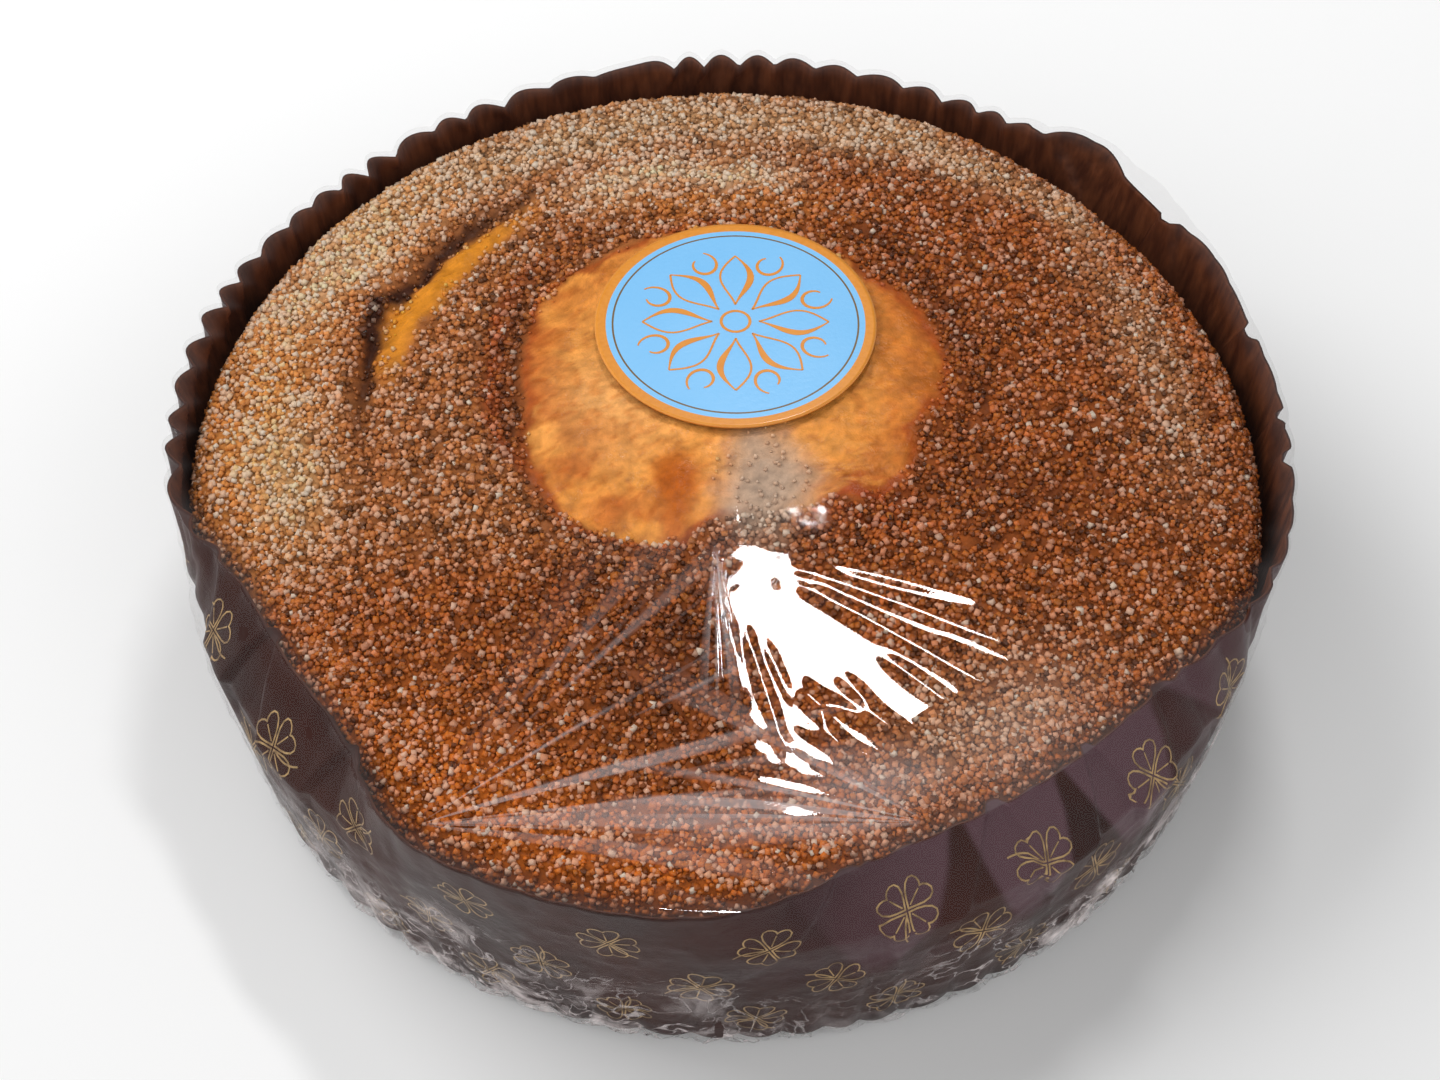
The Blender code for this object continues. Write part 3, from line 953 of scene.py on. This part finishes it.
# Low ridges in the side fans: how many, their height, where they start, how much of the fan's reach they
# run, and their half-widths
FAN_RIDGES = 16
FAN_RIDGE_HEIGHT = 0.03
FAN_RIDGE_STARTS = (2, 12)
FAN_RIDGE_REACHES = (0.5, 1)
FAN_RIDGE_WIDTHS = (0.8, 1.6)
# The middle gather, and the slope of the sheet beside each tuck that starts there. One tuck runs to the
# front and steps down at its left; the other runs to the right on a bearing and steps down behind it.
TUCK = (-2.5, -25.5)
TUCK_SLOPE = 0.065
FRONT_TUCK_WIDTH = 9
FRONT_TUCK_START = (0, 6)
FRONT_TUCK_END = (52, 66)
RIGHT_TUCK_BEARING = math.radians(-10)
RIGHT_TUCK_WIDTH = 4
RIGHT_TUCK_START = (2, 12)
RIGHT_TUCK_END = (46, 90)
RIGHT_TUCK_DEPTH = (8, 28)
# The front of the sheet bulges between these radii, most at the middle one, from this far to the front
BULGE_RADII = (30, 68, 94)
BULGE_HEIGHT = 0.4
BULGE_START = (10, 30)
SLACK = ((0.10, 17, 80), (0.02, 6, 81))
# Milky spots on the top sheet: middle, half-sizes, turn and strength. They are partly the film's own
# milkiness, partly painted reflection of broad light
HAZE_SPOTS = (
    ((24, -73), (13, 5), 12, 0.2),
    ((46, -64), (16, 9), 35, 0.09),
    ((6, -12), (7, 12), 0, 0.04),
)


def fan_share(x, y, fan):
    """How much of a gather's fan lies here, from 0 to 1."""
    (from_x, from_y), arc, reach = fan[:3]
    distance = np.hypot(x - from_x, y - from_y)
    bearing = np.arctan2(y - from_y, x - from_x)
    along = rise(distance, 0, FAN_RISE) * (1 - rise(distance, FAN_FADE * reach, reach))
    return swell(bearing, *arc, FLAT_TOPPED) * along


def ridge(x, y, gather_at, bearing, start, end, width, height):
    """A straight ridge that swells up along a bearing from a gather and dies away again."""
    angle = math.radians(bearing)
    right, ahead = x - gather_at[0], y - gather_at[1]
    along = right * math.cos(angle) + ahead * math.sin(angle)
    across = ahead * math.cos(angle) - right * math.sin(angle)
    shape = rise(along, start, start + RIDGE_RISE) * (1 - rise(along, end - RIDGE_FALL, end))
    return height * shape * np.exp(-((across / width) ** 2))


def fan_ridges():
    """Low ridges that fan out at random from the gathers at both sides."""
    draw = np.random.default_rng(70)
    for name in ("left_fan", "right_fan"):
        gather_at, (middle, half_width), reach = FANS[name][:3]
        for bearing in draw.uniform(middle - half_width, middle + half_width, FAN_RIDGES):
            start, end = draw.uniform(*FAN_RIDGE_STARTS), reach * draw.uniform(*FAN_RIDGE_REACHES)
            yield gather_at, bearing, start, end, draw.uniform(*FAN_RIDGE_WIDTHS), FAN_RIDGE_HEIGHT


def step_down(beyond, width):
    """Drop of the sheet past a tuck's line: slope times width times (1 - exp(-distance / width))."""
    return TUCK_SLOPE * width * (1 - np.exp(-np.maximum(0, beyond) / width))


def film_folds(x, y):
    """Height of the folds: all ridges, less both tucks, plus the bulge and a little slack. It is 0 under
    the label."""
    height = sum(ridge(x, y, *one) for one in [*((TUCK, *one) for one in RIDGES), *FINGERS, *fan_ridges()])
    right, back = x - TUCK[0], y - TUCK[1]
    behind = back * math.cos(RIGHT_TUCK_BEARING) - right * math.sin(RIGHT_TUCK_BEARING)
    along = rise(right, *RIGHT_TUCK_START) * (1 - rise(x, *RIGHT_TUCK_END))
    height = height - step_down(behind, RIGHT_TUCK_WIDTH) * along * (1 - rise(behind, *RIGHT_TUCK_DEPTH))
    along = rise(-back, *FRONT_TUCK_START) * (1 - rise(-y, *FRONT_TUCK_END))
    height = height - step_down(-right, FRONT_TUCK_WIDTH) * along
    inner, middle, outer = BULGE_RADII
    r = np.hypot(x, y)
    bulge = np.clip(np.minimum((r - inner) / (middle - inner), (outer - r) / (outer - middle)), 0, 1)
    height = height + BULGE_HEIGHT * bulge * rise(-y, *BULGE_START) + layered(x, y, SLACK)
    return height * rise(from_circle(x, y, (*LABEL_CENTRE, LABEL_RADIUS))[0], -1, 3)


def film_haze(x, y):
    """Milkiness of the top sheet apart from the fans: a few soft spots, partly the film's own milkiness,
    partly painted reflection of broad light.
    """
    return np.maximum.reduce([strength * spot(x, y, *where) for *where, strength in HAZE_SPOTS])


def film_radius(theta, z):
    """The sheet's radius down the wall: it hugs the pleats, not quite to the bottom of their valleys."""
    z = np.minimum(np.broadcast_to(z, theta.shape), RIM_HEIGHT)
    return case_radius(theta, z) - FILM_HUG * pleat(theta, z) + FILM_OFF_PAPER


def film_rim(theta):
    """Radius of the crease over the rim."""
    return film_radius(theta, RIM_HEIGHT) + film_bridge(theta)


def make_film_top(finish):
    """The top sheet on a disc grid out to the crease."""
    theta, share, numbers = disc_grid(FILM_GRID)
    r = share * film_rim(theta)
    points = polar_points(theta, r, film_height(theta, r))
    x, y = points[..., 0], points[..., 1]
    inside = 1 - rise(share, CREASE_SHARE, 1)
    points[..., 2] += film_folds(x, y) * inside
    fields = {"haze": (film_haze(x, y) + CREASE_HAZE * (1 - inside)).ravel()}
    fields.update({name: fan_share(x, y, fan).ravel() for name, fan in FANS.items()})
    piece = make_piece("film_top", points, grid_quads(numbers), fields=fields)
    belongs(piece, finish, "clear_film", "film_wrap")


def make_film_side(finish):
    """From the crease down the wall, round the bottom edge and under the base."""
    theta, _, numbers = disc_grid(FILM_GRID)
    theta = theta.ravel()[border(numbers)]
    arc = np.degrees(theta) * WALL_A_DEGREE
    top = film_height(theta, film_rim(theta))
    crumpled = np.maximum.reduce([most * swell(theta, *where, FLAT_TOPPED) for most, *where in CRUMPLED])
    rows, crumple = [], []
    for share in SIDE_SHARES:
        z = top + (FILM_EDGE_ROUND - top) * share
        free = rise(z + RIM_DROP, FREE_PAPER_HEIGHT, RIM_HEIGHT)
        unpressed = z + RIM_DROP * pressed(theta) * free
        radius = film_radius(theta, unpressed) + film_bridge(theta) * max(0, 1 - share / BRIDGE_END)
        sharp = (1 - np.abs(mottle(arc, z, 9, 100))) ** 3
        small = np.abs(mottle(arc + 30, z * 1.6, 3.5, 101))
        radius = radius + FILM_CRUMPLE * (0.6 * sharp + 0.35 * small) * rise(share, *FOLDS_SET_IN)
        rows.append(polar_points(theta, radius, z))
        ragged = share + layered(arc, z, ((0.22, 12, 102),))
        crumple.append(crumpled * rise(ragged, *CRUMPLE_START) + 0.2 * rise(share, 0.85, 1))
    for radius in (BASE_RADIUS - FILM_EDGE_ROUND, FILM_LAP_RADIUS):
        rows.append(polar_points(theta, radius, FILM_FLOOR))
        crumple.append(np.full(theta.shape, CRUMPLE_BELOW))
    numbers = np.arange(len(rows) * len(theta)).reshape(len(rows), -1)
    fields = {"crumple": np.array(crumple).ravel()}
    piece = make_piece("film_side", np.concatenate(rows), ring_quads(numbers), fields=fields)
    belongs(piece, finish, "clear_film")


def film_skin(made, milk, bump, gloss_head_on, gloss_grazing):
    """See-through film that mirrors more at grazing angles and is white where it is milky. Light that only
    passes through it meets a plain clear sheet."""
    made.tree.nodes.remove(made.shader)
    gloss = made.node("BsdfGlossy", {"Roughness": 0.03, "Normal": bump, "Color": (1, 1, 1, 1)})
    clear = made.node("BsdfTransparent", {"Color": (0.985, 0.985, 0.985, 1)})
    white = made.node("BsdfDiffuse", {"Color": (*FILM_MILK, 1), "Normal": bump})
    grazing = made.node("LayerWeight", {"Blend": 0.5, "Normal": bump}).outputs["Facing"]
    mirror = made.spread(made.number("POWER", grazing, 5.0), 0.0, 1.0, gloss_head_on, gloss_grazing)
    body = made.node("MixShader", {0: milk, 1: clear.outputs[0], 2: white.outputs[0]})
    skin = made.node("MixShader", {0: mirror, 1: body.outputs[0], 2: gloss.outputs[0]})
    path = made.node("LightPath").outputs
    shading = made.plus(path["Is Shadow Ray"], path["Is Diffuse Ray"], True)
    plain = made.node("BsdfTransparent", {"Color": (*FILM_SHADE, 1)})
    film = made.node("MixShader", {0: shading, 1: skin.outputs[0], 2: plain.outputs[0]})
    made.tree.links.new(film.outputs[0], made.tree.nodes["Material Output"].inputs["Surface"])
    return made.material


def fan_streaks(made, place, name):
    """Streaks that run out from a gather: noise over the bearing, stretched along the distance. Gives the
    height for a bump and the milkiness of bands and thin threads."""
    gather_at, _, _, milkiness, streaks = FANS[name]
    centre = tuple((side + axis) * MM for side, axis in zip(gather_at, CASE_AXIS))
    offset = made.vector("SUBTRACT", place, (*centre, 0))
    parts = made.node("SeparateXYZ", {0: offset}).outputs
    turned = made.times(made.number("ARCTAN2", parts["Y"], parts["X"]), float(streaks))
    along = made.times(made.vector("LENGTH", offset, (0, 0, 0), "Value"), 14.0)
    polar = made.node("CombineXYZ", {"X": turned, "Y": along, "Z": float(milkiness)}).outputs[0]
    wave = made.noise(1.0, 2, 0.5, polar)
    band = made.spread(wave, 0.52, 0.57)
    thread = made.spread(made.number("ABSOLUTE", made.number("SUBTRACT", wave, 0.52)), 0.0, 0.012, 1.0, 0.0)
    milk = made.times(made.plus(made.times(band, 0.65), made.times(thread, 0.2)), float(milkiness))
    share = made.field(name)
    return made.times(wave, share), made.times(milk, share)


def top_film_finish():
    """Clear, taut film: a little uneven, and milky along the streaks of its gathers."""
    made = Finish("clear film")
    place = made.place()
    milk = made.field("haze")
    bump = made.bump(made.noise(70, 2, 0.6, place), 0.0012, 0.08)
    for fan in FANS:
        height, streaked = fan_streaks(made, place, fan)
        milk = made.plus(milk, streaked, True)
        if fan == "middle_fan":
            bump = made.bump(height, 0.0006, 0.2, bump)
    return film_skin(made, milk, bump, *TOP_GLOSS)


def side_film_finish():
    """The same film down the wall: looped creases and milky clouds where it is crumpled."""
    made = Finish("clear film on the wall")
    place = made.place()
    warp = made.node("TexNoise", {"Vector": place, "Scale": 60.0, "Detail": 1.0}).outputs["Color"]
    bent = made.vector("ADD", place, made.vector("MULTIPLY", warp, (0.012, 0.012, 0.012)))
    level = made.number("SUBTRACT", made.noise(150, 2, 0.6, bent), 0.5)
    threads = made.spread(made.number("ABSOLUTE", level), 0.0, 0.022, 1.0, 0.0)
    cloud = made.spread(made.noise(70, 4, 0.7, bent), 0.5, 0.7)
    crumple = made.field("crumple")
    milk = made.plus(made.times(threads, 0.5), made.times(cloud, 0.5))
    milk = made.times(milk, made.times(crumple, 0.85), True)
    bump = made.bump(made.times(threads, crumple), 0.0006, 0.8)
    return film_skin(made, milk, bump, *SIDE_GLOSS)


# Label

LABEL_RINGS = 40
LABEL_COLUMNS = 160
LABEL_RIM = 23.4
LABEL_LINE = (22.0, 22.3)
LABEL_EDGE = 0.05
ROSETTE_LIFT = 0.03


def label_surface(x, y):
    """Height of the label's upper face: the film's own curve under it, plus the gap and the paper."""
    theta, r = np.arctan2(y, x), np.hypot(x, y)
    return film_height(theta, r) + LABEL_GAP + LABEL_PAPER


def make_label(finish):
    """A thin disc: upper face from the middle outwards, edge, and underside back to the middle."""
    theta = np.arange(LABEL_COLUMNS) * TURN / LABEL_COLUMNS
    radii = np.linspace(LABEL_RADIUS / LABEL_RINGS, LABEL_RADIUS, LABEL_RINGS)
    upper = polar_points(theta[None], radii[:, None], 0.0)
    lower = polar_points(theta[None], radii[::-3, None], -LABEL_PAPER)
    rows = np.concatenate([upper, lower])
    rows[..., :2] += LABEL_CENTRE
    rows[..., 2] += label_surface(rows[..., 0], rows[..., 1])
    peak = label_surface(*np.array(LABEL_CENTRE, float))
    points, quads, triangles = shell((*LABEL_CENTRE, peak), rows, (*LABEL_CENTRE, peak - LABEL_PAPER))
    out = np.hypot(points[:, 0] - LABEL_CENTRE[0], points[:, 1] - LABEL_CENTRE[1])
    piece = make_piece("round_label", points, quads, triangles, fields={"out": out})
    belongs(piece, finish, "label_paper", "label")


def label_finish():
    """Sky-blue coated paper with a gold rim and a fine line inside it, read from the distance out."""
    coat = {"coat_weight": 0.3, "coat_roughness": 0.12}
    made = Finish("label paper", roughness=0.34, specular_ior_level=0.45, **coat)
    out = made.field("out")
    fibres = made.noise(1200, 3, 0.6)
    blue = made.mix(made.noise(60, 2), paint(120, 192, 244), paint(140, 203, 250))
    gold = made.mix(fibres, paint(214, 130, 40), paint(236, 158, 62))
    rim = made.spread(out, LABEL_RIM - LABEL_EDGE, LABEL_RIM + LABEL_EDGE)
    inner, outer = LABEL_LINE
    line_ends = made.spread(out, outer, outer + LABEL_EDGE, 1.0, 0.0)
    line = made.times(made.spread(out, inner - LABEL_EDGE, inner), line_ends)
    made.set("Base Color", made.mix(line, made.mix(rim, blue, gold), paint(120, 96, 60)))
    made.dull(fibres, 0.28, 0.42)
    made.set("Normal", made.bump(fibres, 0.0001, 0.4))
    return made.material


def rosette_lines():
    """A generic eight-petal rosette: petals that swell from thin to thick, curled leaves and a hub ring."""
    s = np.linspace(0, 1, 25)
    t = np.linspace(0, TURN, 33, endpoint=False)
    petal = np.stack([3.3 * np.sin(s * math.pi) * np.sin(s * 1.2 + 0.35), 4.2 + 12.6 * s], 1)
    weight = 0.3 + 1.0 * np.sin(s * math.pi) ** 2
    curl = 1.8 + 1.35 * s
    scroll = np.stack([curl * np.cos(s * 5.2 + 2.2), 15.6 + curl * np.sin(s * 5.2 + 2.2)], 1) * (0.9, 1)
    strips = [strip(np.stack([2.6 * np.cos(t), 2.6 * np.sin(t)], 1), 0.55, True)]
    for leaf in range(8):
        strips.append(strip(rotated(petal, 45 * leaf), weight))
        strips.append(strip(rotated(petal * (-1, 1), 45 * leaf), 0.4))
        strips.append(strip(rotated(scroll, 45 * leaf + 22.5), 0.3 + 0.35 * np.sin(s * math.pi)))
    return gather(strips)


def make_rosette(finish):
    """The rosette, laid on the label's upper face."""
    places, quads = rosette_lines()
    x, y = places[:, 0] + LABEL_CENTRE[0], places[:, 1] + LABEL_CENTRE[1]
    points = np.stack([x, y, label_surface(x, y) + ROSETTE_LIFT], 1)
    belongs(make_piece("label_rosette", points, quads), finish, "label_paper")


def rosette_finish():
    """Gold ink, a little uneven."""
    made = Finish("label gold", roughness=0.36)
    made.set("Base Color", made.mix(made.noise(400), paint(214, 132, 44), paint(232, 154, 60)))
    made.dull(made.noise(900), 0.3, 0.42)
    return made.material


# Floor, light and camera

ELEVATION = math.radians(51.1)
DISTANCE = 600
LOOK_AT = (-1.6, 18.9, 0)
LENS = 77.7
GLINT_SPOT = (20.0, -44.0)
GLINT_AWAY = 1100
GLINT_SIZE = (306, 92)
GLINT_ROLL = math.radians(-38)
GLINT_RADIANCE = 32
FLOOR_SIZE = 3.0
SOFTBOX_AT = (-0.9, 0.5, 1.0)
SOFTBOX_AIM = (0, 0, 0.03)
SOFTBOX_SIZE = (1.0, 1.0)
SOFTBOX_RADIANCE = 3.9
# The surroundings go from white to this dim between two closenesses to the way that the film mirrors
DIM_CLOSENESS = (0.3, 0.78)
DIM_LEFT = 0.03


def add_camera():
    """Looks at the cake from the front and 51 degrees up."""
    camera = put("camera", bpy.data.cameras.new("camera"))
    away = Vector((0, -math.cos(ELEVATION), math.sin(ELEVATION))) * DISTANCE
    camera.location = (Vector(LOOK_AT) + Vector((*CASE_AXIS, 0)) + away) * MM
    camera.rotation_euler = (math.pi / 2 - ELEVATION, 0, 0)
    camera.data.sensor_width = 36
    camera.data.lens = LENS
    camera.data.clip_start = 0.01
    bpy.context.scene.camera = camera
    return camera


def add_area(name, location, target, size, radiance, roll=0.0):
    """A softbox aimed at a point. Its power gives the radiance: pi times radiance times area."""
    data = bpy.data.lights.new(name, "AREA")
    data.shape = "RECTANGLE"
    data.size, data.size_y = size
    data.energy = math.pi * radiance * size[0] * size[1]
    light = put(name, data)
    light.location = location
    aimed = (Vector(target) - Vector(location)).to_track_quat("-Z", "Y")
    light.rotation_euler = (aimed @ Quaternion((0, 0, 1), roll)).to_euler()
    return light


def add_glint_light(camera):
    """The box that the film mirrors at the front: the view ray turned about the film's normal there."""
    x, y = GLINT_SPOT
    step = 0.5
    beside_x, beside_y = x + step * np.array([0, 1, -1, 0, 0]), y + step * np.array([0, 0, 0, 1, -1])
    heights = film_height(np.arctan2(beside_y, beside_x), np.hypot(beside_x, beside_y))
    height, right, left, back, front = heights.tolist()
    normal = Vector((left - right, front - back, 2 * step)).normalized()
    place = (Vector((x, y, height)) + Vector((*CASE_AXIS, 0))) * MM
    ray = (place - camera.location).normalized()
    mirrored = ray - 2 * ray.dot(normal) * normal
    size = (GLINT_SIZE[0] * MM, GLINT_SIZE[1] * MM)
    add_area("glint_box", place + mirrored * GLINT_AWAY * MM, place, size, GLINT_RADIANCE, GLINT_ROLL)


def add_world():
    """White surroundings, but dark where the top of the film would mirror them."""
    world = bpy.data.worlds.new("studio")
    bpy.context.scene.world = world
    world.use_nodes = True
    nodes = Nodes(world.node_tree)
    background = world.node_tree.nodes["Background"]
    direction = nodes.node("TexCoord").outputs["Generated"]
    mirrored = (0, math.cos(ELEVATION), math.sin(ELEVATION))
    closeness = nodes.vector("DOT_PRODUCT", direction, mirrored, "Value")
    strength = nodes.spread(closeness, *DIM_CLOSENESS, 1.0, DIM_LEFT, interpolation_type="SMOOTHSTEP")
    world.node_tree.links.new(strength, background.inputs["Strength"])
    background.inputs["Color"].default_value = (1, 1, 1, 1)


def add_floor():
    """A plain pale floor."""
    half = FLOOR_SIZE / MM / 2
    corners = [(-half, -half, 0), (half, -half, 0), (half, half, 0), (-half, half, 0)]
    floor = make_piece("floor", corners, [(0, 1, 2, 3)], smooth=False)
    made = Finish("floor", roughness=0.6, specular_ior_level=0.2)
    made.shader.inputs["Base Color"].default_value = (0.95, 0.95, 0.95, 1)
    floor.data.materials.append(made.material)


def main():
    make_crust(crust_finish())
    make_sugar()
    make_case(case_finish())
    make_clovers(print_finish())
    make_film_top(top_film_finish())
    make_film_side(side_film_finish())
    make_label(label_finish())
    make_rosette(rosette_finish())
    add_floor()
    add_world()
    add_glint_light(add_camera())
    left_box = add_area("left_box", SOFTBOX_AT, SOFTBOX_AIM, SOFTBOX_SIZE, SOFTBOX_RADIANCE)
    left_box.visible_glossy = False
    scene = bpy.context.scene
    scene.view_settings.view_transform = "Standard"
    scene.cycles.max_bounces = 4
    scene.cycles.diffuse_bounces = 1
    scene.cycles.glossy_bounces = 2


main()
